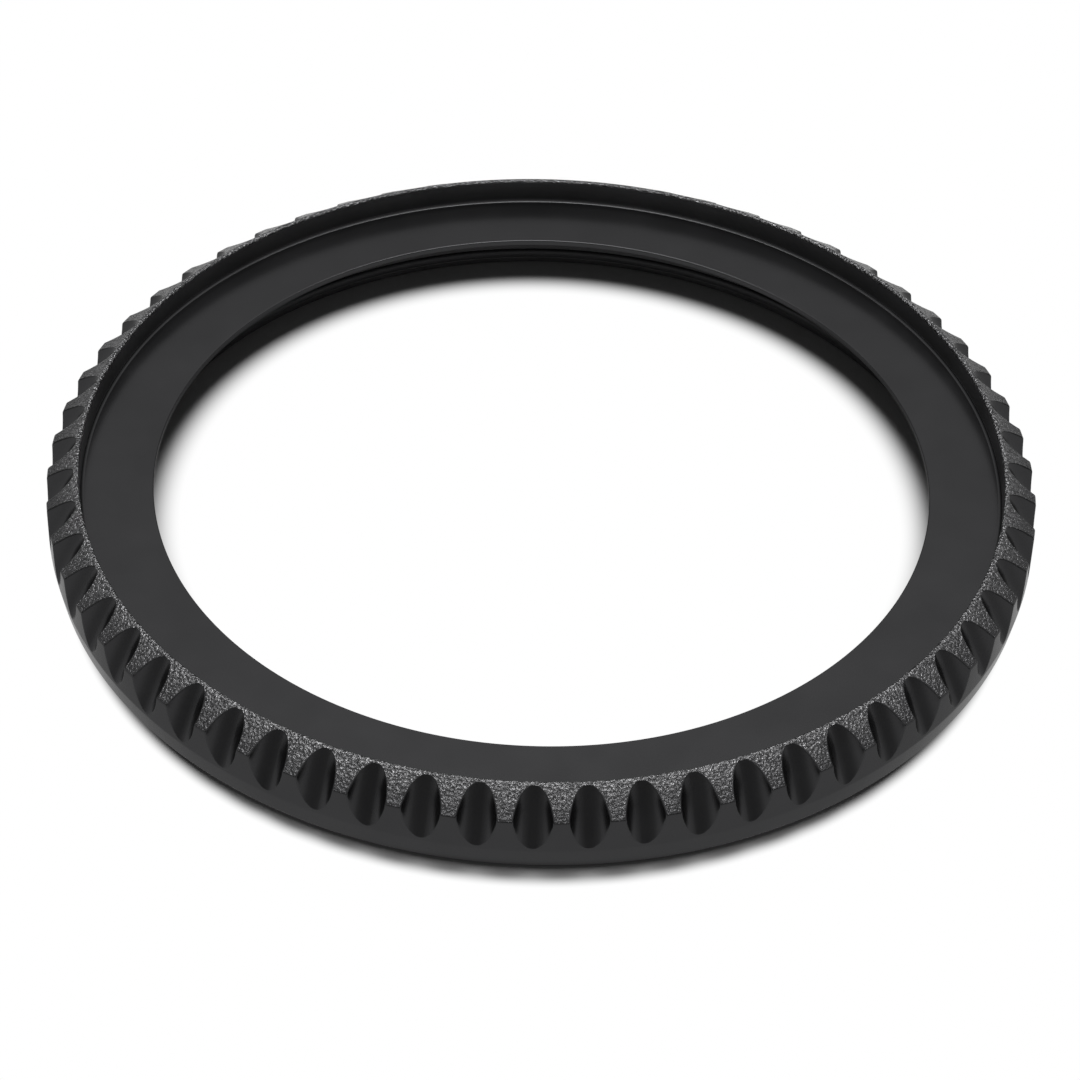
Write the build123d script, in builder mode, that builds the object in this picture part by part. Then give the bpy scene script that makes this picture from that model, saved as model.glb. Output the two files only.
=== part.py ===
from build123d import *
import os
from math import cos, degrees, pi, radians, sin

# Rotating bezel of a diver's watch, without its insert.
# Millimetres. The origin is on the turning axis, in the plane of the underside, and +Z points
# at the wearer's eye. Heights are measured up from the underside.

# Ring: seat for the flat insert, and the lip under it
insert_radius = 19.0  # a standard 38 mm insert
insert_clearance = 0.05
rim_height = 3.33  # overall height of the ring
seat_depth = 1.11  # from the rim down to the seat's floor
seat_width = 3.0  # from the seat's wall in to the lip's edge
seat_corner_rounding = 0.15
lip_edge_depth = 0.25  # upright edge of the lip
lip_edge_bevel = 0.05
lip_thickness = 0.45
lip_underside_bevel = 0.4  # width of the slope under the lip's edge

# Ring: rim, sloped shoulder and grip band
rim_width = 1.38  # from the seat's wall out to the crests between the scallops
rim_land = 0.16  # width of the land on top of the rim, before rounding
shoulder_drop = 0.89  # from the rim down to where the shoulder meets the upright band
taper_height = 0.95  # below this the band draws in towards its foot
taper_depth = 0.17  # how far it draws in
foot_bevel = 0.06
inner_rim_rounding = 0.07  # rim over the seat wall
outer_rim_rounding = 0.22  # rim over the shoulder
crest_rounding = 0.2  # shoulder over the band

# Ring: bore over the neck of the watch case, and the groove for the retaining gasket
bore_inset = 1.65  # from the seat's wall in to the bore
groove_floor_height = 0.3
groove_width = 0.45
groove_depth = 0.45

# Ring: scallops round the edge, cut by a round cutter that leans towards the axis
scallop_count = 60
scallop_cutter_radius = 0.77
scallop_depth = 0.64  # square to the cutter, in from the crest
scallop_lean = 28  # degrees from upright
cutter_overrun = 0.5

# Ring: underside track of the click spring, roofed with one ratchet tooth for each half minute
track_wall = 0.45  # metal between gasket groove and track
track_land = 0.46  # metal between track and foot, bevel included
track_depth = 0.55
tooth_count = 120
tooth_height = 0.35
tooth_tip_share = 0.1  # of the pitch: flat on the tooth's tip
tooth_root_share = 0.9  # of the pitch: width of the tooth at its root

# Retaining gasket: nylon ring in the groove, that snaps under a shoulder of the case neck
gasket_clearance = 0.03
gasket_stand = 0.14  # how far it stands into the bore
gasket_rounding = 0.15

# Click spring: flat steel ring, keyed to the case, with tongues bent up into the ratchet
spring_thickness = 0.15
spring_lift = 0.05  # air under the plate
spring_pilot_clearance = 0.05  # running clearance on the track's inner wall
spring_outer_clearance = 0.2
tongue_count = 3
tongue_length_share = 2.1  # of the tooth pitch
tongue_width = 0.6
tongue_slot = 0.09  # air between a tongue and its window
tongue_tip_gap = 0.06  # air between the tip and the tooth face that it stops
tongue_reach_share = 0.5  # of the tooth height: how deep the tip stands in the ratchet
key_notch_width = 1.4
key_notch_depth = 0.25

# Sizes that follow from those above
seat_radius = insert_radius + insert_clearance
seat_floor_height = rim_height - seat_depth
opening_radius = seat_radius - seat_width
outer_radius = seat_radius + rim_width
edge_height = rim_height - shoulder_drop
bore_radius = seat_radius - bore_inset
groove_radius = bore_radius + groove_depth
groove_roof_height = groove_floor_height + groove_width
lip_underside_height = seat_floor_height - lip_thickness
track_inner_radius = groove_radius + track_wall
foot_radius = outer_radius - taper_depth
track_outer_radius = foot_radius - track_land
track_width = track_outer_radius - track_inner_radius
ratchet_roof_height = track_depth + tooth_height
tooth_pitch = 2 * pi * track_inner_radius / tooth_count
tooth_tip = tooth_tip_share * tooth_pitch
tooth_root = tooth_root_share * tooth_pitch
lean = radians(scallop_lean)
cutter_offset = scallop_cutter_radius - scallop_depth
cutter_radius_at_crest = outer_radius + cutter_offset * cos(lean)
cutter_height_at_crest = edge_height + cutter_offset * sin(lean)
cutter_length = 2 * rim_height
gasket_inner_radius = bore_radius - gasket_stand
gasket_outer_radius = groove_radius - gasket_clearance
gasket_floor_height = groove_floor_height + gasket_clearance
gasket_roof_height = groove_roof_height - gasket_clearance
spring_inner_radius = track_inner_radius + spring_pilot_clearance
spring_outer_radius = track_outer_radius - spring_outer_clearance
spring_top_height = spring_lift + spring_thickness
tongue_radius = (spring_inner_radius + spring_outer_radius) / 2
tongue_length = tongue_length_share * tooth_pitch
tongue_half = tongue_length / 2
tongue_tip_height = track_depth + tongue_reach_share * tooth_height
window_width = tongue_width + 2 * tongue_slot
tongue_angle = -degrees((tongue_half + tongue_tip_gap) / tongue_radius)

os.makedirs("parts", exist_ok=True)


def corner_near(section, radius, height):
    """Corner of a section, drawn in the XZ plane, that lies nearest to this radius and height."""
    return section.vertices().sort_by_distance((radius, height, 0))[0]


# Room for the click spring: the track, with the saw teeth of the ratchet left in its roof.
# A tooth's upright face lies in a plane through the axis; the other side of it is a ramp.
with BuildPart() as spring_room:
    with BuildSketch(Plane.XY.offset(-cutter_overrun)):
        Circle(track_outer_radius)
        Circle(track_inner_radius, mode=Mode.SUBTRACT)
    extrude(amount=cutter_overrun + ratchet_roof_height)
    with BuildSketch(Plane.YZ.offset(track_inner_radius - cutter_overrun)):
        with BuildLine():
            Polyline(
                (0, track_depth),
                (tooth_tip, track_depth),
                (tooth_root, ratchet_roof_height),
                (tooth_root, ratchet_roof_height + cutter_overrun),
                (0, ratchet_roof_height + cutter_overrun),
                close=True,
            )
        make_face()
    tooth = extrude(amount=track_width + 2 * cutter_overrun, mode=Mode.PRIVATE)
    with PolarLocations(0, tooth_count):
        add(tooth, mode=Mode.SUBTRACT)

# Bezel ring: one piece of steel, turned from bar, then milled round the edge and underneath
with BuildPart() as bezel_ring:
    with BuildSketch(Plane.XZ) as ring_section:
        with BuildLine():
            Polyline(
                (foot_radius, 0),
                (outer_radius, taper_height),
                (outer_radius, edge_height),
                (seat_radius + rim_land, rim_height),
                (seat_radius, rim_height),
                (seat_radius, seat_floor_height),
                (opening_radius, seat_floor_height),
                (opening_radius, seat_floor_height - lip_edge_depth),
                (opening_radius + lip_underside_bevel, lip_underside_height),
                (bore_radius, lip_underside_height),
                (bore_radius, groove_roof_height),
                (groove_radius, groove_roof_height),
                (groove_radius, groove_floor_height),
                (bore_radius, groove_floor_height),
                (bore_radius, 0),
                close=True,
            )
        make_face()
        fillet(corner_near(ring_section, outer_radius, edge_height), radius=crest_rounding)
        fillet(corner_near(ring_section, seat_radius + rim_land, rim_height), radius=outer_rim_rounding)
        fillet(corner_near(ring_section, seat_radius, rim_height), radius=inner_rim_rounding)
        fillet(corner_near(ring_section, seat_radius, seat_floor_height), radius=seat_corner_rounding)
        chamfer(corner_near(ring_section, opening_radius, seat_floor_height), length=lip_edge_bevel)
        chamfer(corner_near(ring_section, foot_radius, 0), length=foot_bevel)
    revolve(axis=Axis.Z)
    add(spring_room.part, mode=Mode.SUBTRACT)
    with PolarLocations(0, scallop_count, start_angle=-90):
        with Locations(Location((cutter_radius_at_crest, 0, cutter_height_at_crest), (0, -scallop_lean, 0))):
            Cylinder(scallop_cutter_radius, cutter_length, mode=Mode.SUBTRACT)
bezel_ring.part.label = "bezel_ring"
export_step(bezel_ring.part, "parts/bezel_ring.step")

# Retaining gasket: it lies loose in its groove, and its rounded inner edge stands into the bore
with BuildPart() as bezel_gasket:
    with BuildSketch(Plane.XZ) as gasket_section:
        with BuildLine():
            Polyline(
                (gasket_inner_radius, gasket_floor_height),
                (gasket_outer_radius, gasket_floor_height),
                (gasket_outer_radius, gasket_roof_height),
                (gasket_inner_radius, gasket_roof_height),
                close=True,
            )
        make_face()
        fillet(corner_near(gasket_section, gasket_inner_radius, gasket_floor_height), radius=gasket_rounding)
        fillet(corner_near(gasket_section, gasket_inner_radius, gasket_roof_height), radius=gasket_rounding)
    revolve(axis=Axis.Z)
bezel_gasket.part.label = "bezel_gasket"
export_step(bezel_gasket.part, "parts/bezel_gasket.step")

# Click spring: each tongue is cut free in a window of the plate and bent up, so that its tip
# stands against a tooth's upright face when the bezel is turned clockwise
with BuildPart() as click_spring:
    with BuildSketch(Plane.XY.offset(spring_lift)):
        Circle(spring_outer_radius)
        Circle(spring_inner_radius, mode=Mode.SUBTRACT)
        with PolarLocations(tongue_radius, tongue_count, start_angle=tongue_angle):
            with Locations((0, tongue_slot / 2)):
                Rectangle(window_width, tongue_length + tongue_slot, mode=Mode.SUBTRACT)
        with PolarLocations(spring_outer_radius, tongue_count, start_angle=180 / tongue_count):
            Rectangle(2 * key_notch_depth, key_notch_width, mode=Mode.SUBTRACT)
    extrude(amount=spring_thickness)
    with BuildSketch(Plane.YZ.offset(tongue_radius - tongue_width / 2)):
        with BuildLine():
            Polyline(
                (-tongue_half - spring_thickness, spring_lift),
                (-tongue_half, spring_lift),
                (tongue_half, tongue_tip_height - spring_thickness),
                (tongue_half, tongue_tip_height),
                (-tongue_half, spring_top_height),
                (-tongue_half - spring_thickness, spring_top_height),
                close=True,
            )
        make_face()
    tongue = extrude(amount=tongue_width, mode=Mode.PRIVATE)
    with PolarLocations(0, tongue_count, start_angle=tongue_angle):
        add(tongue)
click_spring.part.label = "click_spring"
export_step(click_spring.part, "parts/click_spring.step")
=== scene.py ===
import math

import bmesh
import bpy
from bpy.props import FloatProperty, IntProperty, PointerProperty, StringProperty
from bpy.types import Operator, Panel, PropertyGroup
from mathutils import Matrix, Vector


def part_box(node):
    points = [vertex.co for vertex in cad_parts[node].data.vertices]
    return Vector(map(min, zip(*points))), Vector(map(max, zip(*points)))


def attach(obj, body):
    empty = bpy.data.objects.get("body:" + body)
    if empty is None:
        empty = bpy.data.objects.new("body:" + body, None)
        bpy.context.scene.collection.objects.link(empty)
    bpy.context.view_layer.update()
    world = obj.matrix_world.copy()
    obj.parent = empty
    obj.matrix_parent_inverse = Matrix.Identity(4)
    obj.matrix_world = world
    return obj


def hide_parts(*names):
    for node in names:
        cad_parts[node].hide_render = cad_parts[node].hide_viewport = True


bl_info = {
    "name": "Rotating watch bezel",
    "version": (1, 0, 0),
    "blender": (4, 5, 0),
    "location": "3D View > Sidebar > Bezel",
    "description": "Builds a diver's bezel with its gasket and click spring around the packed frame",
    "category": "Add Mesh",
}

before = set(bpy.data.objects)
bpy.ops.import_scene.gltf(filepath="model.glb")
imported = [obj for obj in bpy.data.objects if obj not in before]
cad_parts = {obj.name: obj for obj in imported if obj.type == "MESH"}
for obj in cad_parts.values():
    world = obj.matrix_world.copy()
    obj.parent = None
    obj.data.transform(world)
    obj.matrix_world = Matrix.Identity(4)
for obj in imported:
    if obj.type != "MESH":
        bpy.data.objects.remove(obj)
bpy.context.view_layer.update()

MM = 0.001
DOUBLED = 1e-8  # metres: points closer than this are one point
SLACK = 1e-6  # for angles and shares that only rounding parts
RING_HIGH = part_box("bezel_ring")[1]
GASKET_LOW, GASKET_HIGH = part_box("bezel_gasket")
SPRING_LOW, SPRING_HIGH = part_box("click_spring")
GASKET_AIR = 0.03 * MM  # between the gasket and its groove


def length(name, description, default):
    """A length in metres, shown in the file's own unit."""
    return FloatProperty(name=name, description=description, default=default, precision=6, unit="LENGTH")


def angle(name, description, degrees):
    """An angle, given here in degrees."""
    return FloatProperty(name=name, description=description, default=math.radians(degrees), subtype="ANGLE")


def share(name, description, default):
    """A plain factor from 0 to 1."""
    return FloatProperty(name=name, description=description, default=default, min=0, max=1, subtype="FACTOR")


def plain(name, description, default):
    """A plain number."""
    return FloatProperty(name=name, description=description, default=default)


def count(name, description, default):
    """A whole number."""
    return IntProperty(name=name, description=description, default=default)


def paint(name, description, default):
    """A colour written as an sRGB hex value."""
    return StringProperty(name=name, description=description, default=default)


class BezelRingSizes(PropertyGroup):
    """Sizes of the ring, as the solid has them, and the small roundings that catch the light."""

    outer_radius: length("Crest radius", "Out to the crests between the scallops", RING_HIGH.x)
    height: length("Height", "From the underside to the rim", RING_HIGH.z)
    seat_radius: length("Seat radius", "Wall that the insert fits inside", 19.05 * MM)
    seat_depth: length("Seat depth", "From the rim down to the seat's floor", 1.11 * MM)
    opening_radius: length("Opening radius", "Inner edge of the lip", 16.05 * MM)
    bore_radius: length("Bore radius", "Bore over the case's neck", 17.4 * MM)
    lip_edge: length("Lip edge", "Height of the lip's upright edge", 0.25 * MM)
    lip_thickness: length("Lip thickness", "Thickness of the lip behind its slope", 0.45 * MM)
    lip_slope: length("Lip slope", "Width of the slope under the lip's edge", 0.4 * MM)
    rim_land: length("Rim land", "Width of the rim's top before rounding", 0.16 * MM)
    shoulder_drop: length("Shoulder drop", "From the rim down to the crests", 0.89 * MM)
    taper_height: length("Taper height", "Below this the band draws in", 0.95 * MM)
    taper_depth: length("Taper depth", "How far the band draws in", 0.17 * MM)
    foot_bevel: length("Foot bevel", "Bevel at the band's foot", 0.06 * MM)
    groove_floor: length("Groove floor", "Height of the gasket groove's floor", GASKET_LOW.z - GASKET_AIR)
    groove_roof: length("Groove roof", "Height of the gasket groove's roof", GASKET_HIGH.z + GASKET_AIR)
    groove_radius: length("Groove radius", "Bottom of the gasket groove", 17.85 * MM)
    track_inner: length("Track inner radius", "Inner wall of the click spring's track", 18.3 * MM)
    track_outer: length("Track outer radius", "Outer wall of the click spring's track", 19.8 * MM)
    tooth_tip: length("Tooth tip height", "Height of the ratchet's tooth tips", 0.55 * MM)
    tooth_root: length("Tooth root height", "Height of the ratchet's roof", 0.9 * MM)
    tooth_count: count("Ratchet teeth", "Teeth round the ratchet", 120)
    tip_share: share("Tip share", "Flat of a tooth's tip, as a share of the pitch", 0.1)
    root_share: share("Root share", "Whole width of a tooth, as a share of the pitch", 0.9)
    scallop_count: count("Scallops", "Scallops round the edge", 60)
    cutter_radius: length("Cutter radius", "Radius of the scallops' cutter", 0.77 * MM)
    scallop_depth: length("Scallop depth", "Square to the cutter, in from the crest", 0.64 * MM)
    scallop_lean: angle("Scallop lean", "Lean of the cutter from upright", 28)
    scallop_edge: length("Scallop edge", "Rounding that tumbling leaves on a scallop's edge", 0.07 * MM)
    rim_inner_rounding: length("Inner rim rounding", "Rim over the seat's wall", 0.09 * MM)
    rim_outer_rounding: length("Outer rim rounding", "Rim over the shoulder", 0.2 * MM)
    crest_rounding: length("Crest rounding", "Shoulder over the band", 0.2 * MM)
    taper_rounding: length("Taper rounding", "Where the band starts to draw in", 0.6 * MM)
    seat_rounding: length("Seat rounding", "Fillet between the seat's wall and floor", 0.15 * MM)
    lip_rounding: length("Lip rounding", "Upper edge of the lip", 0.05 * MM)
    edge_break: length("Edge break", "Rounding that tumbling leaves on a sharp edge", 0.03 * MM)


class GasketSizes(PropertyGroup):
    """Sizes of the nylon gasket."""

    inner_radius: length("Inner radius", "Inside of the bead that grips the case", 17.26 * MM)
    outer_radius: length("Outer radius", "Back of the gasket, in the groove", GASKET_HIGH.x)
    floor: length("Underside", "Height of the gasket's underside", GASKET_LOW.z)
    roof: length("Top", "Height of the gasket's top", GASKET_HIGH.z)
    bead_rounding: length("Bead rounding", "Rounding of the inner edge", 0.15 * MM)
    back_rounding: length("Back rounding", "Rounding of the outer edge", 0.05 * MM)
    columns: count("Columns", "Steps round the gasket", 720)


class ClickSpringSizes(PropertyGroup):
    """Sizes of the click spring."""

    inner_radius: length("Inner radius", "Runs on the track's inner wall", 18.35 * MM)
    outer_radius: length("Outer radius", "Outer edge of the plate", 19.6 * MM)
    lift: length("Lift", "Air under the plate", SPRING_LOW.z)
    thickness: length("Thickness", "Thickness of the strip", 0.15 * MM)
    tip_height: length("Tip height", "Top of a tongue's tip", SPRING_HIGH.z)
    tongues: count("Tongues", "Tongues round the spring", 3)
    tongue_length: length("Tongue length", "From the bend to the tip", 2.012 * MM)
    tongue_width: length("Tongue width", "Width of a tongue", 0.6 * MM)
    tongue_bend: share("Tongue bend", "Share of the tongue before it runs straight", 0.15)
    slot: length("Slot", "Air between a tongue and its window", 0.09 * MM)
    tip_gap: length("Tip gap", "Air between the tip and the tooth", 0.06 * MM)
    notch_width: length("Notch width", "Width of a key notch", 1.4 * MM)
    notch_depth: length("Notch depth", "Depth of a key notch", 0.25 * MM)
    punched_edge: length("Punched edge", "Rounding that punching and tumbling leave", 0.025 * MM)
    columns: count("Columns", "Steps round the plate", 720)


class BezelFinishes(PropertyGroup):
    """Colours and gloss of the finishes."""

    coat: paint("Coat", "Black vapour-deposited coat", "#373738")
    # Painted highlight: the blasted shoulder's coat is drawn paler than the plain coat, so that the lamp's
    # glints there read brighter.
    shoulder_coat_painted_light: paint("Thin coat", "The same coat where it lies thinner, on the blasted shoulder", "#454546")
    # Painted shade: the coat in the scallops is drawn a little darker than the plain coat.
    milled_coat_painted_shade: paint("Coat in the scallops", "The coat in the scallops, where it builds up", "#363637")
    # Painted light: the seat's wall and the faces under the lip get a much paler coat, for light that hardly
    # reaches them.
    inner_coat_painted_light: paint("Coat in the bored seat", "The coat on the wall, where little of it reaches", "#585859")
    # Painted glitter: pale specks on the grain's tips, more of them nearer the rim, stand in for the lamp's
    # glints. The depth below sets how far down they reach.
    painted_glitter_coat: paint("Worn coat", "The coat where hands and cloths have worn it, near the rim", "#7A7A7B")
    painted_glitter_depth: length("Worn depth", "How far below the rim the shoulder is worn", 0.7 * MM)
    coat_metallic: share("Coat metallic", "How metallic the coat looks; the rest of it is soot black", 0.8)
    coat_edge: paint("Coat at a low angle", "Tint of the reflection at a low angle", "#B8B8B8")
    turned_roughness: share("Turned roughness", "Roughness of the turned faces", 0.24)
    milled_roughness: share("Milled roughness", "Roughness of the milled scallops", 0.3)
    bored_roughness: share("Bored roughness", "Roughness of the seat's wall", 0.5)
    blasted_roughness: share("Blasted roughness", "Roughness of the blasted shoulder", 0.18)
    nylon: paint("Nylon", "Gasket's nylon", "#29292B")
    nylon_roughness: share("Nylon roughness", "Roughness of the moulded nylon", 0.6)
    strip: paint("Strip", "Click spring's rolled steel strip", "#C9C6C0")
    strip_roughness: share("Strip roughness", "Roughness of the rolled strip", 0.3)
    # Painted shade: the board is mid grey, and the grey shows only near the ring, where the table is not
    # turned white, so it deepens the shadow there.
    table: paint("Table", "Pale table top", "#B4B4B4")


class BezelStage(PropertyGroup):
    """Camera, lamp, sky and table. The table's shade fades away from the ring, and sooner where the ring
    mirrors it."""

    distance: length("Camera distance", "From the point it turns about", 153.4 * MM)
    aim_height: length("Aim height", "Height of the point on the axis that the camera turns about", 2.27 * MM)
    elevation: angle("Camera elevation", "Above the table", 40.4)
    tilt: angle("Camera tilt", "How far the camera looks above that point", 1.046)
    roll: angle("Camera roll", "Turn of the picture", 1.68)
    heading: angle("Camera heading", "Turn of the camera round the axis", -0.154)
    focal_share: plain("Focal share", "Focal length over frame width", 3.423)
    sensor: plain("Sensor", "Sensor width in millimetres", 36.0)
    lamp_distance: length("Lamp distance", "From the origin to the lamp", 0.5)
    lamp_lean: angle("Lamp lean", "From overhead, away from the camera", 10.95)
    lamp_size: length("Lamp size", "Width of the round softbox", 0.325)
    lamp_power: plain("Lamp power", "Power of the softbox in watts", 2.27)
    horizon: plain("Horizon", "Sky at the horizon, as metal mirrors it", 0.1)
    overhead: plain("Overhead", "Sky overhead, as metal mirrors it", 1.2)
    fill: share("Fill", "Light that falls from the sky", 0.06)
    table_radius: length("Table radius", "Radius of the table top", 0.6)
    # These set where the table turns white, not where the lamp's shadow falls. The grey left near the ring is
    # painted shade, and it reaches further on the camera's side.
    shadow_lean: length("Shadow lean", "How far the shadow falls towards the camera", 1.7 * MM)
    seen_outer_start: length("Seen outer start", "Outside the ring the seen shade starts to fade", 19.05 * MM)
    seen_outer_end: length("Seen outer end", "Outside the ring the seen table is white", 19.75 * MM)
    seen_inner_start: length("Seen inner start", "Inside the ring the seen shade starts to fade", 16.5 * MM)
    seen_inner_end: length("Seen inner end", "Inside the ring the seen table is white", 15.0 * MM)
    shown_outer_start: length("Mirrored outer start", "The same, as the ring mirrors it", 18.35 * MM)
    shown_outer_end: length("Mirrored outer end", "The same, as the ring mirrors it", 18.8 * MM)
    shown_inner_start: length("Mirrored inner start", "The same, as the ring mirrors it", 14.6 * MM)
    shown_inner_end: length("Mirrored inner end", "The same, as the ring mirrors it", 13.4 * MM)


def linear(code):
    """Linear red, green, blue and alpha of an sRGB hex value."""
    channels = [int(code[i : i + 2], 16) / 255 for i in (1, 3, 5)]
    return [c / 12.92 if c <= 0.04045 else ((c + 0.055) / 1.055) ** 2.4 for c in channels] + [1.0]


def node(tree, kind, links=(), **settings):
    """Adds a node. A setting that names an input sets its value, and any other sets a property of the node.
    links holds (input, socket) pairs."""
    made = tree.nodes.new(kind)
    for name, value in settings.items():
        socket = made.inputs.get(name.replace("_", " "))
        if hasattr(made, name):
            setattr(made, name, value)
        elif socket is not None:
            socket.default_value = value
        else:
            raise RuntimeError(f"{kind} has no setting {name}")
    for name, source in links:
        tree.links.new(source, made.inputs[name])
    return made


def new_material(name):
    """An empty node material and its tree."""
    material = bpy.data.materials.new(name)
    material.use_nodes = True
    material.node_tree.nodes.clear()
    return material, material.node_tree


def arc(corner, before, after, radius, steps):
    """Points of the arc that rounds a corner of a section, seen from the point before to the point after."""
    to_before = (before - corner).normalized()
    to_after = (after - corner).normalized()
    half = to_before.angle(to_after) / 2
    centre = corner + (to_before + to_after).normalized() * (radius / math.sin(half))
    start = corner + to_before * (radius / math.tan(half)) - centre
    end = corner + to_after * (radius / math.tan(half)) - centre
    turn = start.angle_signed(end)
    return [centre + Matrix.Rotation(-turn * i / steps, 2) @ start for i in range(steps + 1)]


def rounded(corners, steps=1):
    """Section outline through (radius, height, rounding) corners. The two end corners stay as they are.
    A corner may have its own number of steps as a fourth value."""
    points = [Vector(c[:2]) for c in corners]
    outline = [points[0]]
    for i in range(1, len(corners) - 1):
        if corners[i][2]:
            own_steps = corners[i][3] if len(corners[i]) > 3 else steps
            outline += arc(points[i], points[i - 1], points[i + 1], corners[i][2], own_steps)
        else:
            outline.append(points[i])
    return outline + [points[-1]]


def even_shading(mesh, sharp_from=40):
    """Shades by face area, so that flat faces stay flat beside small roundings. Sharper edges stay crisp."""
    around = [[] for _ in mesh.vertices]
    for face in mesh.polygons:
        face.use_smooth = True
        for corner in face.vertices:
            around[corner].append(face.index)
    facing = [face.normal.copy() for face in mesh.polygons]
    sizes = [face.area / MM**2 for face in mesh.polygons]
    limit = math.cos(math.radians(sharp_from))
    normals = []
    for face in mesh.polygons:
        own = facing[face.index]
        for corner in face.vertices:
            beside = [i for i in around[corner] if facing[i].dot(own) > limit]
            normals.append(sum((facing[i] * sizes[i] for i in beside), Vector()).normalized())
    mesh.normals_split_custom_set(normals)


def close_form(form, mesh):
    """Turns the faces of a bmesh of closed forms outwards and writes it to its mesh."""
    bmesh.ops.recalc_face_normals(form, faces=form.faces)
    form.to_mesh(mesh)
    form.free()
    even_shading(mesh)


def add_object(name, data):
    """A new object in the scene."""
    made = bpy.data.objects.new(name, data)
    bpy.context.scene.collection.objects.link(made)
    return made


def lathe_object(name, points, faces, slots=()):
    """Object of a closed mesh, with doubled points merged. slots holds each face's material number."""
    mesh = bpy.data.meshes.new(name)
    mesh.from_pydata(points, [], faces)
    if slots:
        mesh.polygons.foreach_set("material_index", slots)
    form = bmesh.new()
    form.from_mesh(mesh)
    bmesh.ops.remove_doubles(form, verts=form.verts, dist=DOUBLED)
    close_form(form, mesh)
    return add_object(name, mesh)


def lathe_faces(columns):
    """Points and faces of columns of equal length joined side by side and top to bottom."""
    rows = len(columns[0])
    faces = []
    for c in range(len(columns)):
        here, there = c * rows, (c + 1) % len(columns) * rows
        for r in range(rows):
            up = (r + 1) % rows
            faces.append((here + r, there + r, there + up, here + up))
    return [p for column in columns for p in column], faces


def band_and_body_faces(columns, whole, band, band_slots, slots):
    """Points, faces and material numbers of columns that all carry the band's rows, while only the whole
    ones carry the rest of the section. band_slots gives the material number of each row of faces after each
    column, and slots that of each row of the section."""
    rows, total = max(len(column) for column in columns), len(columns)
    points, first, faces, numbers = [], [], [], []
    for c in range(total):
        first.append(len(points))
        points += columns[c] if whole[c] else columns[c][:band]
    for c in range(total):
        here, there = first[c], first[(c + 1) % total]
        for r in range(band - 1):
            faces.append((here + r, there + r, there + r + 1, here + r + 1))
            numbers.append(band_slots[c][r])
    kept = [c for c in range(total) if whole[c]]
    for c, after in zip(kept, kept[1:] + [kept[0] + total]):
        span = [first[i % total] for i in range(c, after + 1)]
        here, there = span[0], span[-1]
        faces.append([start + band - 1 for start in span] + [there + band, here + band])
        numbers.append(slots[band - 1])
        for r in range(band, rows - 1):
            faces.append((here + r, there + r, there + r + 1, here + r + 1))
            numbers.append(slots[r])
        faces.append([here + rows - 1, there + rows - 1] + list(reversed(span)))
        numbers.append(slots[rows - 1])
    return points, faces, numbers


def lathe_column(outline, turn):
    """Points of a section outline in the half plane at an angle round the axis."""
    c, s = math.cos(turn), math.sin(turn)
    return [(r * c, r * s, z) for r, z in outline]


TURNED, BLASTED, MILLED, BORED = range(4)


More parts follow.
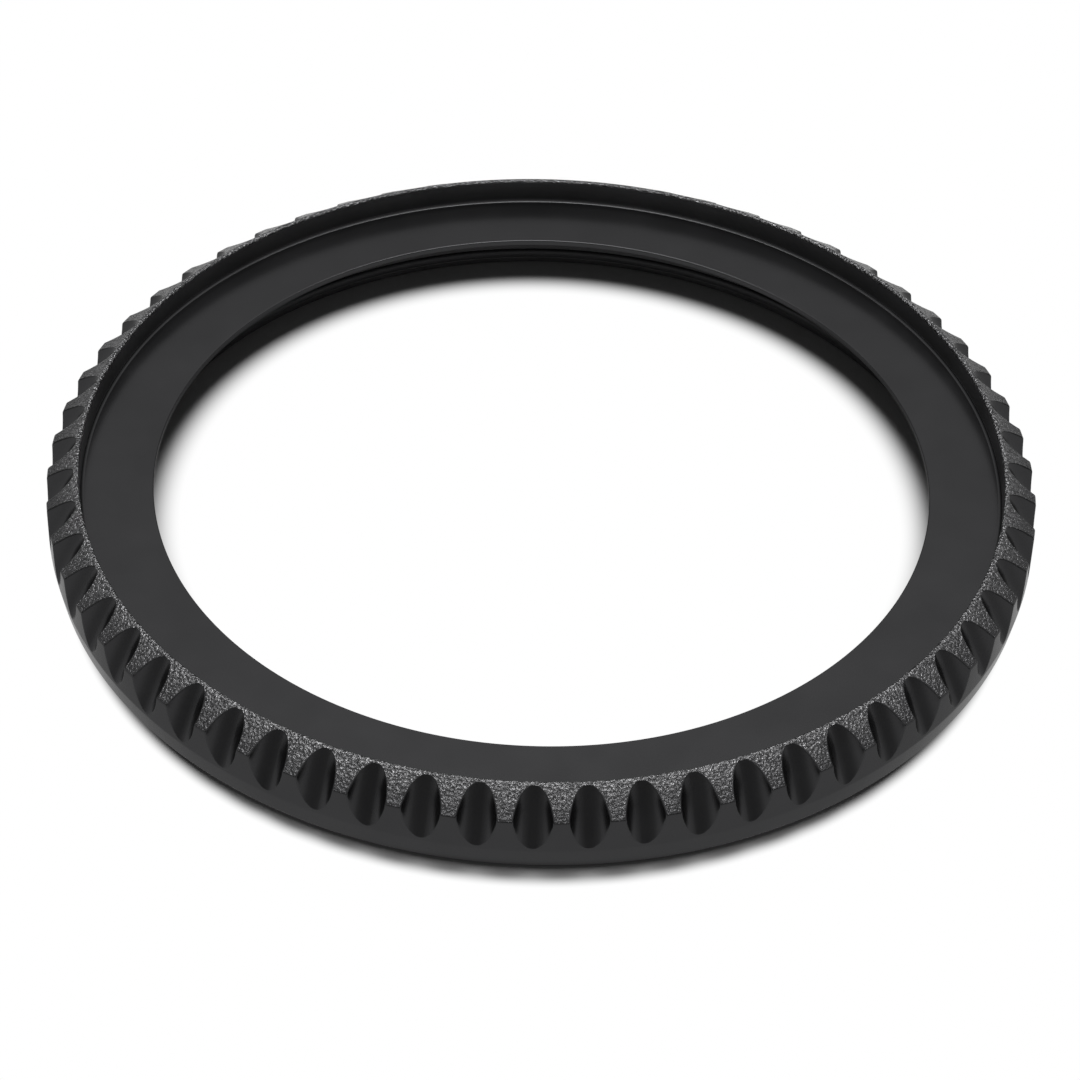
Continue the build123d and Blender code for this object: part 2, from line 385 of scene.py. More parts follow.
class EdgeShape:
    """The ring's grip edge in the half plane at any angle from a scallop's middle: the turned section cut by
    a leaning round cutter, with one radius of rounding along the edge between them."""

    def __init__(self, sizes):
        self.sizes = sizes
        self.crest_height = sizes.height - sizes.shoulder_drop
        self.half_pitch = math.pi / sizes.scallop_count
        self.tooth = 2 * math.pi / sizes.tooth_count
        run = sizes.outer_radius - sizes.seat_radius - sizes.rim_land
        self.slope = run / sizes.shoulder_drop
        self.tilt = math.atan2(run, sizes.shoulder_drop)
        reach = sizes.crest_rounding * math.tan(self.tilt / 2)
        self.arc_low = self.crest_height - reach
        self.arc_high = self.crest_height + reach * math.cos(self.tilt)
        self.arc_radius = sizes.outer_radius - sizes.crest_rounding
        self.blast_start = (self.arc_low + 2 * self.arc_high) / 3  # two thirds up the crest
        lean = sizes.scallop_lean
        self.middle = self.arc_low + sizes.crest_rounding * math.sin(lean)
        offset = sizes.cutter_radius - sizes.scallop_depth
        self.cutter_reach = sizes.outer_radius * math.cos(lean) + self.crest_height * math.sin(lean) + offset
        self.wall_angle = math.acos(offset / sizes.cutter_radius)
        self.half_width = self.find(lambda turn: self.bite(self.middle, turn) > 0, 0, self.half_pitch)

    def find(self, holds, inside, outside, halvings=40):
        """Last value, from inside towards outside, at which a condition that is true inside still holds."""
        for _ in range(halvings):
            middle = (inside + outside) / 2
            if holds(middle):
                inside = middle
            else:
                outside = middle
        return inside

    def uncut(self, height):
        """Radius of the turned section at this height, and the tilt of its face there."""
        sizes = self.sizes
        if height <= self.arc_low:
            return sizes.outer_radius, 0.0
        if height >= self.arc_high:
            return sizes.outer_radius - (height - self.crest_height) * self.slope, self.tilt
        rise = (height - self.arc_low) / sizes.crest_rounding
        return self.arc_radius + sizes.crest_rounding * math.sqrt(1 - rise**2), math.asin(rise)

    def depth_in_cutter(self, radius, height, turn):
        """How deep a point lies inside the cutter, and the way out of the solid there."""
        lean = self.sizes.scallop_lean
        across = radius * math.cos(turn) * math.cos(lean) + height * math.sin(lean) - self.cutter_reach
        side = radius * math.sin(turn)
        away = max(math.hypot(across, side), DOUBLED)
        out = Vector((-across * math.cos(lean), -side, -across * math.sin(lean))) / away
        return self.sizes.cutter_radius - away, out

    def bite(self, height, turn):
        """How deep the turned section's face lies inside the cutter, below zero on the land between."""
        return self.depth_in_cutter(self.uncut(height)[0], height, turn)[0]

    def outside(self, radius, height, turn):
        """Signed distance in front of the finished face, and whether the point faces the rounded edge."""
        whole, tilt = self.uncut(height)
        face = (radius - whole) * math.cos(tilt)
        wall, wall_out = self.depth_in_cutter(radius, height, turn)
        face_out = Vector((math.cos(turn) * math.cos(tilt), math.sin(turn) * math.cos(tilt), math.sin(tilt)))
        both = face_out.dot(wall_out)
        nearly_parallel = 0.999
        edge = self.sizes.scallop_edge
        a, b = face + edge, wall + edge
        if a <= both * b or b <= both * a or both > nearly_parallel:
            return max(face, wall), False
        return math.sqrt((a * a + b * b - 2 * a * b * both) / (1 - both * both)) - edge, True

    def surface(self, height, turn):
        """Radius of the finished face at this height."""
        whole = self.uncut(height)[0]
        inside = whole - 2 * self.sizes.scallop_depth
        return self.find(lambda radius: self.outside(radius, height, turn)[0] < 0, inside, whole)

    def point(self, height, turn):
        """Point of the finished face."""
        return Vector((self.surface(height, turn), height))

    def on_edge(self, height, turn):
        """Whether the face at this height belongs to the rounded edge."""
        return self.outside(self.surface(height, turn), height, turn)[1]

    def finish(self, height, turn):
        """Finish of the face at this height."""
        if self.bite(height, turn) > 0 or self.on_edge(height, turn):
            return MILLED
        return BLASTED if height > self.blast_start else TURNED

    def heights(self, turn, low, high, plain_rows=2, edge_rows=4, wall_rows=8, edge_share=0.3):
        """Heights of a column's points: few on the plain faces, more over the rounded edge of the scallop.
        Where there is no edge, its rows take up a share of the span at each end."""
        foot, top = self.middle, self.middle
        if abs(turn) < self.half_width:
            foot = self.find(lambda z: self.bite(z, turn) > 0, self.middle, low)
            top = self.find(lambda z: self.bite(z, turn) > 0, self.middle, high)
        below, above = foot, top
        if self.on_edge(foot, turn):
            below = self.find(lambda z: self.on_edge(z, turn), foot, low)
        if self.on_edge(top, turn):
            above = self.find(lambda z: self.on_edge(z, turn), top, high)
        below, above = min(below, self.arc_low), max(above, self.arc_high)
        inner, outer = below + (above - below) * edge_share, above - (above - below) * edge_share
        if foot < inner:
            inner = self.find(lambda z: self.on_edge(z, turn), foot, inner)
        if top > outer:
            outer = self.find(lambda z: self.on_edge(z, turn), top, outer)
        stretches = [(low, below, plain_rows), (below, inner, edge_rows), (inner, outer, wall_rows)]
        stretches += [(outer, above, edge_rows), (above, high, plain_rows)]
        rows = [low]
        for start, end, steps in stretches:
            rows += [start + (end - start) * i / steps for i in range(1, steps + 1)]
        return rows[:-1]

    def roofs(self, turn):
        """Heights of the ratchet's roof at this angle: two where a tooth's upright face stands, except that
        the outermost faces are shared with the scallops beside this one."""
        sizes = self.sizes
        part = turn / self.tooth % 1
        if min(part, 1 - part) < SLACK:
            before = [sizes.tooth_root] if turn > SLACK - self.half_pitch else []
            after = [sizes.tooth_tip] if turn < self.half_pitch - SLACK else []
            return before + after
        climb = (part - sizes.tip_share) / (sizes.root_share - sizes.tip_share)
        return [sizes.tooth_tip + (sizes.tooth_root - sizes.tooth_tip) * min(max(climb, 0), 1)]

    def column_turns(self, wall_steps=6, whole_steps=(2, 4), edge_steps=5):
        """Angles of the columns across one scallop and half the gap on each side of it, with the height of
        the ratchet's roof there, and whether the column carries the whole section. Where a tooth's upright
        face stands, two columns share an angle."""
        sizes = self.sizes
        edge = sizes.scallop_edge / sizes.outer_radius
        land = self.half_width + edge * math.tan(self.wall_angle / 2)
        wall = land - edge * math.sin(self.wall_angle)
        turns, whole = {0.0}, {self.half_pitch}
        quarter = math.pi / 2
        for i in range(1, wall_steps):
            pair = {wall * math.sin(quarter * i / wall_steps) * side for side in (-1, 1)}
            turns |= pair
            whole |= pair if i in whole_steps else set()
        for i in range(edge_steps + 1):
            turns |= {(land - edge * math.sin(self.wall_angle * i / edge_steps)) * side for side in (-1, 1)}
        for k in (-1, 0):
            whole |= {(k + part) * self.tooth for part in (0, sizes.tip_share, sizes.root_share)}
        columns = []
        for turn in sorted(turns | whole):
            kept = any(abs(turn - other) < SLACK for other in whole)
            columns += [(turn, roof, kept) for roof in self.roofs(turn)]
        return columns


def ring_outlines(sizes):
    """Fixed parts of the ring's section: from the rim inwards and down to the track, and from the track's
    outer wall to the band."""
    floor = sizes.height - sizes.seat_depth
    under = floor - sizes.lip_thickness
    shoulder_foot = (sizes.outer_radius, sizes.height - sizes.shoulder_drop)
    edge = sizes.edge_break
    inward = rounded(
        [
            (*shoulder_foot, 0),
            (sizes.seat_radius + sizes.rim_land, sizes.height, sizes.rim_outer_rounding, 4),
            (sizes.seat_radius, sizes.height, sizes.rim_inner_rounding, 4),
            (sizes.seat_radius, floor, sizes.seat_rounding, 4),
            (sizes.opening_radius, floor, sizes.lip_rounding, 3),
            (sizes.opening_radius, floor - sizes.lip_edge, edge, 2),
            (sizes.opening_radius + sizes.lip_slope, under, edge),
            (sizes.bore_radius, under, 3 * edge),
            (sizes.bore_radius, sizes.groove_roof, edge),
            (sizes.groove_radius, sizes.groove_roof, edge),
            (sizes.groove_radius, sizes.groove_floor, edge),
            (sizes.bore_radius, sizes.groove_floor, edge),
            (sizes.bore_radius, 0, 2 * edge),
            (sizes.track_inner, 0, edge),
            (sizes.track_inner, sizes.tooth_tip, 0),
        ],
    )[1:]
    foot = sizes.outer_radius - sizes.taper_depth
    draw = Vector((sizes.taper_depth, sizes.taper_height)).normalized() * sizes.foot_bevel
    outward = rounded(
        [
            (sizes.track_outer, sizes.tooth_tip, 0),
            (sizes.track_outer, 0, edge),
            (foot - sizes.foot_bevel, 0, edge),
            (foot + draw.x, draw.y, edge),
            (sizes.outer_radius, sizes.taper_height, sizes.taper_rounding, 3),
            (sizes.outer_radius, sizes.height, 0),
        ],
    )[:-1]
    return inward, outward


def section_finish(sizes, point):
    """Finish of the part of the ring's section at this radius and height, from the rim inwards."""
    radius, height = point
    floor = sizes.height - sizes.seat_depth
    # A face in a rounding counts with the part that it mostly lies in.
    wall_top = sizes.height - 1.1 * sizes.rim_inner_rounding
    wall_foot = floor + 0.8 * sizes.seat_rounding
    lip_foot = floor - 1.1 * sizes.lip_edge
    if height > wall_top:
        return BLASTED
    if height > wall_foot:
        return BLASTED if radius > sizes.seat_radius + sizes.rim_land / 2 else BORED
    if height > lip_foot or radius > sizes.track_outer:
        return TURNED
    return BORED if radius < sizes.track_inner else MILLED


def band_finishes(edge, sections, rows):
    """Finish of each face of the band, row by row, between each section and the next."""
    finishes = []
    for (turn, _, here), (after, _, there) in zip(sections, sections[1:] + sections[:1]):
        middle = (turn + after) / 2 if after > turn else turn
        heights = [(here[r].y + here[r + 1].y + there[r].y + there[r + 1].y) / 4 for r in range(rows - 1)]
        finishes.append([edge.finish(z, middle) for z in heights])
    return finishes


class BEZEL_OT_ring(Operator):
    """Builds the bezel ring with its scallops, seat, groove and ratchet"""

    bl_idname = "bezel.ring"
    bl_label = "Bezel ring"

    def execute(self, context):
        sizes = context.scene.bezel_ring
        edge = EdgeShape(sizes)
        inward, outward = ring_outlines(sizes)
        low, high = outward[-1].y, inward[0].y
        sections = []
        for turn, roof, kept in edge.column_turns():
            band = [edge.point(z, turn) for z in edge.heights(turn, low, high)][1:]
            track = [(sizes.track_inner, roof), (sizes.track_outer, roof)]
            outline = [Vector(point) for point in band + inward + track + outward]
            sections.append((turn, kept, outline))
        rows = len(band)  # as many in each section
        pitch = 2 * math.pi / sizes.scallop_count
        columns, whole = [], []
        for k in range(sizes.scallop_count):
            start = k * pitch - math.pi / 2
            columns += [lathe_column(section, start + turn) for turn, _, section in sections]
            whole += [kept for _, kept, _ in sections]
        slots = [section_finish(sizes, (a + b) / 2) for a, b in zip(outline, outline[1:] + outline[:1])]
        band_slots = band_finishes(edge, sections, rows) * sizes.scallop_count
        points, faces, numbers = band_and_body_faces(columns, whole, rows, band_slots, slots)
        ring = lathe_object("ring_black_steel", points, faces, numbers)
        for material in (turned_steel, blasted_steel, milled_steel, bored_steel):
            ring.data.materials.append(material(context.scene.bezel_finish))
        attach(ring, "bezel")
        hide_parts("bezel_ring")
        return {"FINISHED"}


class BEZEL_OT_gasket(Operator):
    """Builds the nylon gasket in its groove"""

    bl_idname = "bezel.gasket"
    bl_label = "Gasket"

    def execute(self, context):
        sizes = context.scene.bezel_gasket
        middle = (sizes.floor + sizes.roof) / 2
        outline = rounded(
            [
                (sizes.outer_radius, middle, 0),
                (sizes.outer_radius, sizes.roof, sizes.back_rounding),
                (sizes.inner_radius, sizes.roof, sizes.bead_rounding),
                (sizes.inner_radius, sizes.floor, sizes.bead_rounding),
                (sizes.outer_radius, sizes.floor, sizes.back_rounding),
                (sizes.outer_radius, middle, 0),
            ],
            steps=5,
        )[:-1]
        step = 2 * math.pi / sizes.columns
        points, faces = lathe_faces([lathe_column(outline, k * step) for k in range(sizes.columns)])
        gasket = lathe_object("gasket_nylon", points, faces)
        gasket.data.materials.append(moulded_nylon(context.scene.bezel_finish))
        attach(gasket, "bezel")
        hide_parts("bezel_gasket")
        return {"FINISHED"}


def plate_curve(sizes, tongue_turns, notch_turns):
    """Filled flat outline of the click spring's plate, with its windows and notches."""
    inset = sizes.punched_edge
    curve = bpy.data.curves.new("plate outline", "CURVE")
    curve.dimensions = "2D"
    curve.fill_mode = "BOTH"
    curve.extrude = sizes.thickness / 2 - inset
    curve.bevel_depth = inset
    curve.bevel_resolution = 2
    curve.offset = -inset

    def add_loop(points):
        spline = curve.splines.new("POLY")
        spline.points.add(len(points) - 1)
        for spline_point, (x, y) in zip(spline.points, points):
            spline_point.co = (x, y, 0, 1)
        spline.use_cyclic_u = True

    half_notch = sizes.notch_width / 2 / sizes.outer_radius
    turns = [2 * math.pi * k / sizes.columns for k in range(sizes.columns)]
    rim = []
    for turn in turns:
        away = min(abs((turn - n + math.pi) % (2 * math.pi) - math.pi) for n in notch_turns)
        radius = sizes.outer_radius - (sizes.notch_depth if away < half_notch else 0)
        rim.append((radius * math.cos(turn), radius * math.sin(turn)))
    add_loop(rim)
    add_loop([(sizes.inner_radius * math.cos(t), -sizes.inner_radius * math.sin(t)) for t in turns])
    middle = (sizes.inner_radius + sizes.outer_radius) / 2
    half_width = sizes.tongue_width / 2 + sizes.slot
    back, front = -sizes.tongue_length / 2, sizes.tongue_length / 2 + sizes.slot
    for turn in tongue_turns:
        spin = Matrix.Rotation(turn, 2)
        near, far = middle - half_width, middle + half_width
        corners = ((near, back), (near, front), (far, front), (far, back))
        add_loop([tuple(spin @ Vector(corner)) for corner in corners])
    return curve


def add_tongue(form, sizes, turn, steps=12):
    """Adds one bent tongue to a bmesh. It leaves the plate in a small bend and runs straight to its tip."""
    middle = (sizes.inner_radius + sizes.outer_radius) / 2
    top = sizes.lift + sizes.thickness
    rise = sizes.tip_height - top
    bend = sizes.tongue_bend
    side, inset = sizes.tongue_width / 2, sizes.punched_edge
    start = -sizes.tongue_length / 2 - sizes.thickness
    spin = Matrix.Rotation(turn, 3, "Z")
    loops = []
    for k in range(steps + 1):
        part = k / steps
        along = max(part - bend, 0) / (1 - bend)
        lift = rise * along if part > 2 * bend else rise * along * part / (2 * bend)
        y = start + (sizes.tongue_length + sizes.thickness) * part
        high = top + lift
        low = high - sizes.thickness
        shape = [
            (-side + inset, high),
            (side - inset, high),
            (side, high - inset),
            (side, low + inset),
            (side - inset, low),
            (-side + inset, low),
            (-side, low + inset),
            (-side, high - inset),
        ]
        loops.append([form.verts.new(spin @ Vector((middle + x, y, z))) for x, z in shape])
    for first, second in zip(loops, loops[1:]):
        for k in range(len(first)):
            after = (k + 1) % len(first)
            form.faces.new((first[k], first[after], second[after], second[k]))
    form.faces.new(loops[0])
    form.faces.new(list(reversed(loops[-1])))


class BEZEL_OT_click_spring(Operator):
    """Builds the click spring: a punched plate with bent tongues"""

    bl_idname = "bezel.click_spring"
    bl_label = "Click spring"

    def execute(self, context):
        sizes = context.scene.bezel_spring
        middle = (sizes.inner_radius + sizes.outer_radius) / 2
        back_off = (sizes.tongue_length / 2 + sizes.tip_gap) / middle
        step = 2 * math.pi / sizes.tongues
        tongue_turns = [k * step - back_off for k in range(sizes.tongues)]
        notch_turns = [(k + 0.5) * step for k in range(sizes.tongues)]
        curve = plate_curve(sizes, tongue_turns, notch_turns)
        holder = add_object("plate outline", curve)
        context.view_layer.update()
        mesh = bpy.data.meshes.new_from_object(holder.evaluated_get(context.evaluated_depsgraph_get()))
        bpy.data.objects.remove(holder)
        mesh.transform(Matrix.Translation((0, 0, sizes.lift + sizes.thickness / 2)))
        form = bmesh.new()
        form.from_mesh(mesh)
        loosely = 10 * DOUBLED  # the curve's own doubled points lie a little further apart
        bmesh.ops.remove_doubles(form, verts=form.verts, dist=loosely)
        for turn in tongue_turns:
            add_tongue(form, sizes, turn)
        close_form(form, mesh)
        mesh.materials.clear()
        mesh.materials.append(rolled_strip(context.scene.bezel_finish))
        spring = add_object("click_spring_strip", mesh)
        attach(spring, "click_side")
        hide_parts("click_spring")
        return {"FINISHED"}


def black_coat(finish, name, colour, roughness, grain_size, grain_depth, painted_glitter_depth=0.0):
    """Black vapour-deposited coat on stainless steel. The coat is thin and follows the grain of the steel:
    soot black from above, with a soft pale sheen where it is seen at a low angle. It lies unevenly, which
    shows as faint clouds. Within a set depth of the rim the grain's tips are painted pale, more and more
    towards the rim: painted glitter that stands in for the lamp's glints."""
    cloud_size = 2.5 * MM
    cloud_tints = (("Color1", 0.9), ("Color2", 1.1))
    tip_foot, tip_top = 0.42, 0.62  # the grain's height, from 0 to 1
    rim = RING_HIGH.z + 0.01 * MM  # just above the ring, so that the range below it is never empty
    material, tree = new_material(name)
    place = node(tree, "ShaderNodeTexCoord").outputs["Object"]
    grain, cloud = (
        node(tree, "ShaderNodeTexNoise", [("Vector", place)], Scale=1 / size, Detail=2.0).outputs["Fac"]
        for size in (grain_size, cloud_size)
    )
    bump = node(tree, "ShaderNodeBump", [("Height", grain)], Strength=1.0, Distance=grain_depth)
    tint = node(tree, "ShaderNodeMixRGB", [("Fac", cloud)])
    for socket, factor in cloud_tints:
        tint.inputs[socket].default_value = [channel * factor for channel in linear(colour)[:3]] + [1.0]
    # Painted glitter: towards the rim the grain's tips are mixed to a pale colour.
    height = node(tree, "ShaderNodeSeparateXYZ", [("Vector", place)]).outputs["Z"]
    glitter_near_rim, tips = (
        node(tree, "ShaderNodeMapRange", [("Value", value)], From_Min=start, From_Max=end).outputs["Result"]
        for value, start, end in ((height, RING_HIGH.z - painted_glitter_depth, rim), (grain, tip_foot, tip_top))
    )
    glitter_specks = node(tree, "ShaderNodeMath", [(0, glitter_near_rim), (1, tips)], operation="MULTIPLY").outputs["Value"]
    tint = [("Fac", glitter_specks), ("Color1", tint.outputs["Color"])]
    tint = node(tree, "ShaderNodeMixRGB", tint, Color2=linear(finish.painted_glitter_coat)).outputs["Color"]
    spread = roughness / 6
    low, high = roughness - spread, roughness + spread
    rough = node(tree, "ShaderNodeMapRange", [("Value", cloud)], To_Min=low, To_Max=high).outputs["Result"]
    surface = node(
        tree,
        "ShaderNodeBsdfPrincipled",
        [("Base Color", tint), ("Roughness", rough), ("Normal", bump.outputs["Normal"])],
        Metallic=finish.coat_metallic,
        Specular_Tint=linear(finish.coat_edge),
    )
    node(tree, "ShaderNodeOutputMaterial", [("Surface", surface.outputs["BSDF"])])
    return material


def turned_steel(finish):
    """Fine-turned faces: satin, with the grain of the coat. The real grain of 0.05 mm is drawn at 0.09 mm so
    that it shows."""
    name, grain = "black coat on turned steel", (0.09 * MM, 0.0005 * MM)
    return black_coat(finish, name, finish.coat, finish.turned_roughness, *grain)


def milled_steel(finish):
    """Milled scallops: the cutter leaves them duller than the turned faces. Their coat is drawn a little
    darker than the plain coat, as painted shade.
    """
    name, grain = "black coat on milled steel", (0.07 * MM, 0.001 * MM)
    return black_coat(finish, name, finish.milled_coat_painted_shade, finish.milled_roughness, *grain)


def bored_steel(finish):
    """Bored wall of the seat, and the faces under the lip: dull, and drawn much paler than the rest, as
    painted light where little light reaches.
    """
    name, grain = "black coat on bored steel", (0.07 * MM, 0.002 * MM)
    return black_coat(finish, name, finish.inner_coat_painted_light, finish.bored_roughness, *grain)


def blasted_steel(finish):
    """Bead-blasted shoulder, which glitters where its dimples face the lamp. Its coat is drawn paler than the
    plain coat, as painted highlight, and towards the rim pale specks on the grain's tips are painted glitter.
    Beads of 100 micron leave dimples of about 0.1 mm. Their depth is drawn larger than it is, so that the
    glitter shows from where the camera stands."""
    name, grain = "black coat on blasted steel", (0.11 * MM, 0.12 * MM)
    return black_coat(finish, name, finish.shoulder_coat_painted_light, finish.blasted_roughness, *grain, finish.painted_glitter_depth)


def moulded_nylon(finish):
    """Moulded nylon, soft sheen, with a faint mottle from the mould."""
    material, tree = new_material("moulded nylon")
    place = node(tree, "ShaderNodeTexCoord").outputs["Object"]
    scale = 1 / (0.15 * MM)
    mottle = node(tree, "ShaderNodeTexNoise", [("Vector", place)], Scale=scale, Detail=3.0).outputs["Fac"]
    bump = node(tree, "ShaderNodeBump", [("Height", mottle)], Strength=0.2, Distance=0.006 * MM)
    surface = node(
        tree,
        "ShaderNodeBsdfPrincipled",
        [("Normal", bump.outputs["Normal"])],
        Base_Color=linear(finish.nylon),
        Roughness=finish.nylon_roughness,
        IOR=1.53,
    )
    node(tree, "ShaderNodeOutputMaterial", [("Surface", surface.outputs["BSDF"])])
    return material


def rolled_strip(finish):
    """Rolled stainless strip, punched and tumbled: bright, with fine straight rolling lines."""
    material, tree = new_material("rolled steel strip")
    place = node(tree, "ShaderNodeTexCoord").outputs["Object"]
    # Rolling lines 0.04 mm apart, each about 1.5 mm long.
    scale = 1 / (0.04 * MM), 1 / (1.5 * MM), 1 / MM
    stretched = node(tree, "ShaderNodeMapping", [("Vector", place)], Scale=scale).outputs["Vector"]
    lines = node(tree, "ShaderNodeTexNoise", [("Vector", stretched)], Scale=1.0, Detail=3.0).outputs["Fac"]
    bump = node(tree, "ShaderNodeBump", [("Height", lines)], Strength=0.2, Distance=0.004 * MM)
    low, high = finish.strip_roughness - 0.08, finish.strip_roughness + 0.12
    rough = node(tree, "ShaderNodeMapRange", [("Value", lines)], To_Min=low, To_Max=high).outputs["Result"]
    surface = node(
        tree,
        "ShaderNodeBsdfPrincipled",
        [("Roughness", rough), ("Normal", bump.outputs["Normal"])],
        Base_Color=linear(finish.strip),
        Metallic=1.0,
    )
    node(tree, "ShaderNodeOutputMaterial", [("Surface", surface.outputs["BSDF"])])
    return material


def mirrored_rays(tree, ray):
    """1 for what metal or glass shows, 0 for all other rays."""
    both = [(0, ray["Is Glossy Ray"]), (1, ray["Is Transmission Ray"])]
    return node(tree, "ShaderNodeMath", both, operation="ADD", use_clamp=True).outputs["Value"]


def table_top(finish, stage):
    """Matt pale grey board. As the camera sees it, and as the ring mirrors it, it turns to plain white a
    little way from the ring, like a brightly lit table; the grey left near the ring is painted shade that
    deepens the ring's shadow. The shade outside the ring is measured from the axis or from a point nearer to
    the camera, whichever is closer, because the shadow falls that way, so the painted shade reaches further
    on the camera's side."""
    material, tree = new_material("matt white board")
    place = node(tree, "ShaderNodeTexCoord").outputs["Object"]
    nearer = node(tree, "ShaderNodeVectorMath", [(0, place)], operation="ADD")
    nearer.inputs[1].default_value = (0, stage.shadow_lean, 0)
    from_axis, from_nearer = (
        node(tree, "ShaderNodeVectorMath", [(0, point)], operation="LENGTH").outputs["Value"]
        for point in (place, nearer.outputs["Vector"])
    )
    shorter = [(0, from_axis), (1, from_nearer)]
    from_shadow = node(tree, "ShaderNodeMath", shorter, operation="MINIMUM").outputs["Value"]
    ray = node(tree, "ShaderNodeLightPath").outputs

    def clear_of_shade(outer, inner, rays):
        """1 away from the ring's shade, for one kind of ray. outer and inner each hold the radius where the
        shade starts to fade and the one where it has gone."""
        outside, inside = (
            node(
                tree,
                "ShaderNodeMapRange",
                [("Value", away)],
                interpolation_type="SMOOTHSTEP",
                From_Min=start,
                From_Max=end,
            ).outputs["Result"]
            for away, (start, end) in ((from_shadow, outer), (from_axis, inner))
        )
        clear = node(tree, "ShaderNodeMath", [(0, outside), (1, inside)], operation="ADD").outputs["Value"]
        return node(tree, "ShaderNodeMath", [(0, clear), (1, rays)], operation="MULTIPLY").outputs["Value"]

    seen = clear_of_shade(
        (stage.seen_outer_start, stage.seen_outer_end),
        (stage.seen_inner_start, stage.seen_inner_end),
        ray["Is Camera Ray"],
    )
    shown = clear_of_shade(
        (stage.shown_outer_start, stage.shown_outer_end),
        (stage.shown_inner_start, stage.shown_inner_end),
        mirrored_rays(tree, ray),
    )
    white = node(tree, "ShaderNodeMath", [(0, seen), (1, shown)], operation="ADD").outputs["Value"]
    # Painted shade: the grey board shows only round the ring, where the table is not turned white.
    board = node(tree, "ShaderNodeBsdfDiffuse", Color=linear(finish.table)).outputs["BSDF"]
    glow = node(tree, "ShaderNodeEmission", Strength=1.0).outputs["Emission"]
    mixed = node(tree, "ShaderNodeMixShader", [(0, white), (1, board), (2, glow)]).outputs["Shader"]
    node(tree, "ShaderNodeOutputMaterial", [("Surface", mixed)])
    return material


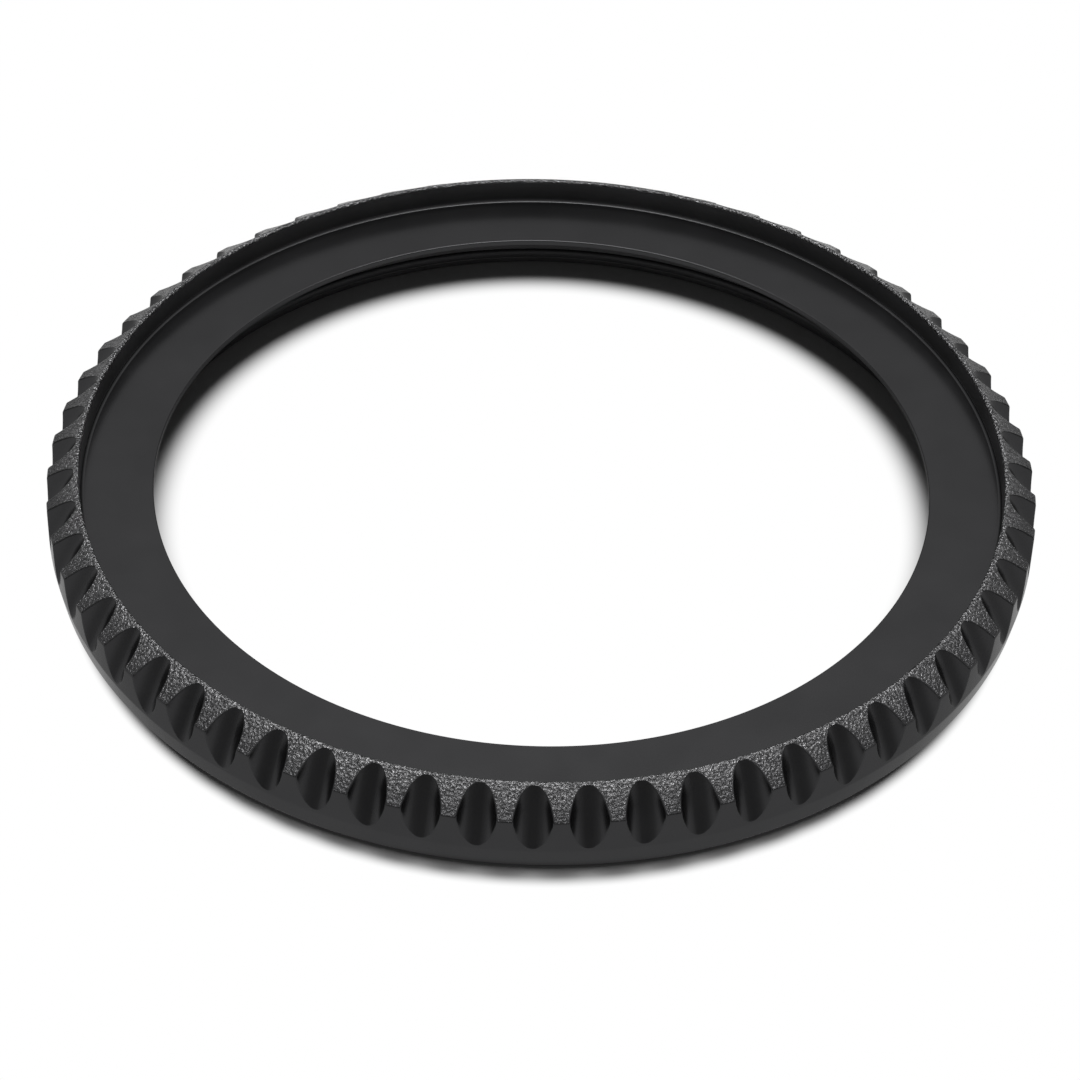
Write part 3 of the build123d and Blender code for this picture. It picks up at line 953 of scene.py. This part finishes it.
class BEZEL_OT_stage(Operator):
    """Builds the table, the light and the camera"""

    bl_idname = "bezel.stage"
    bl_label = "Stage"

    def execute(self, context):
        stage = context.scene.bezel_stage
        self.add_table(context, stage)
        self.add_sky(context, stage)
        self.add_lamp(stage)
        self.add_camera(context, stage)
        context.scene.view_settings.view_transform = "Standard"
        return {"FINISHED"}

    def add_table(self, context, stage):
        mesh = bpy.data.meshes.new("table")
        form = bmesh.new()
        bmesh.ops.create_circle(form, cap_ends=True, radius=stage.table_radius, segments=96)
        form.to_mesh(mesh)
        form.free()
        mesh.materials.append(table_top(context.scene.bezel_finish, stage))
        table = add_object("table", mesh)

    def add_sky(self, context, stage):
        """A pale studio: plain white to the camera, and mirrored in metal as dim at the horizon and bright
        overhead. Little light falls from it, because the lamp lights the object."""
        world = bpy.data.worlds.new("pale studio")
        world.use_nodes = True
        tree = world.node_tree
        tree.nodes.clear()
        way = node(tree, "ShaderNodeTexCoord").outputs["Generated"]
        upward = node(tree, "ShaderNodeSeparateXYZ", [("Vector", way)]).outputs["Z"]
        horizon_ends, overhead_starts = 0.1, 0.95  # upward part of the direction
        level = node(
            tree,
            "ShaderNodeMapRange",
            [("Value", upward)],
            interpolation_type="SMOOTHSTEP",
            From_Min=horizon_ends,
            From_Max=overhead_starts,
            To_Min=stage.horizon,
            To_Max=stage.overhead,
        ).outputs["Result"]
        white = (1, 1, 1, 1)
        ray = node(tree, "ShaderNodeLightPath").outputs
        studio = node(tree, "ShaderNodeBackground", [("Strength", level)], Color=white).outputs["Background"]
        fill = node(tree, "ShaderNodeBackground", Strength=stage.fill, Color=white).outputs["Background"]
        plain_white = node(tree, "ShaderNodeBackground", Strength=1.0, Color=white).outputs["Background"]
        mirrored = [(0, mirrored_rays(tree, ray)), (1, fill), (2, studio)]
        mirrored = node(tree, "ShaderNodeMixShader", mirrored).outputs["Shader"]
        seen = [(0, ray["Is Camera Ray"]), (1, mirrored), (2, plain_white)]
        seen = node(tree, "ShaderNodeMixShader", seen).outputs["Shader"]
        node(tree, "ShaderNodeOutputWorld", [("Surface", seen)])
        context.scene.world = world

    def add_lamp(self, stage):
        """A round softbox that faces the origin."""
        lamp = bpy.data.lights.new("top softbox", "AREA")
        lamp.shape = "DISK"
        lamp.size = stage.lamp_size
        lamp.energy = stage.lamp_power
        holder = add_object("top softbox", lamp)
        way = Vector((0, math.sin(stage.lamp_lean), math.cos(stage.lamp_lean)))
        holder.location = way * stage.lamp_distance
        holder.rotation_euler = way.to_track_quat("Z", "Y").to_euler()

    def add_camera(self, context, stage):
        aim = Vector((0, 0, stage.aim_height))
        back = Vector((0, -math.cos(stage.elevation), math.sin(stage.elevation)))
        camera = bpy.data.cameras.new("camera")
        camera.sensor_width = stage.sensor
        camera.lens = stage.sensor * stage.focal_share
        camera.clip_start = 10 * MM
        camera.clip_end = 5
        holder = add_object("camera", camera)
        turn = Matrix.Rotation(math.pi / 2 - stage.elevation - stage.tilt, 4, "X")
        turn = turn @ Matrix.Rotation(stage.roll, 4, "Z")
        heading = Matrix.Rotation(stage.heading, 4, "Z")
        holder.matrix_world = heading @ Matrix.Translation(aim + back * stage.distance) @ turn
        context.scene.camera = holder


class BEZEL_PT_sidebar(Panel):
    """Buttons that build the bezel piece by piece"""

    bl_idname = "BEZEL_PT_sidebar"
    bl_label = "Rotating bezel"
    bl_space_type = "VIEW_3D"
    bl_region_type = "UI"
    bl_category = "Bezel"

    def draw(self, context):
        for operator in OPERATORS:
            self.layout.operator(operator.bl_idname)


OPERATORS = (BEZEL_OT_ring, BEZEL_OT_gasket, BEZEL_OT_click_spring, BEZEL_OT_stage)
GROUPS = {
    "bezel_ring": BezelRingSizes,
    "bezel_gasket": GasketSizes,
    "bezel_spring": ClickSpringSizes,
    "bezel_finish": BezelFinishes,
    "bezel_stage": BezelStage,
}


def register():
    for group in GROUPS.values():
        bpy.utils.register_class(group)
    for name, group in GROUPS.items():
        setattr(bpy.types.Scene, name, PointerProperty(type=group))
    for made in (*OPERATORS, BEZEL_PT_sidebar):
        bpy.utils.register_class(made)


def unregister():
    for made in (BEZEL_PT_sidebar, *reversed(OPERATORS)):
        bpy.utils.unregister_class(made)
    for name, group in reversed(GROUPS.items()):
        delattr(bpy.types.Scene, name)
        bpy.utils.unregister_class(group)


def main():
    register()
    bpy.ops.bezel.stage()
    bpy.ops.bezel.ring()
    bpy.ops.bezel.gasket()
    bpy.ops.bezel.click_spring()


if __name__ == "__main__":
    main()
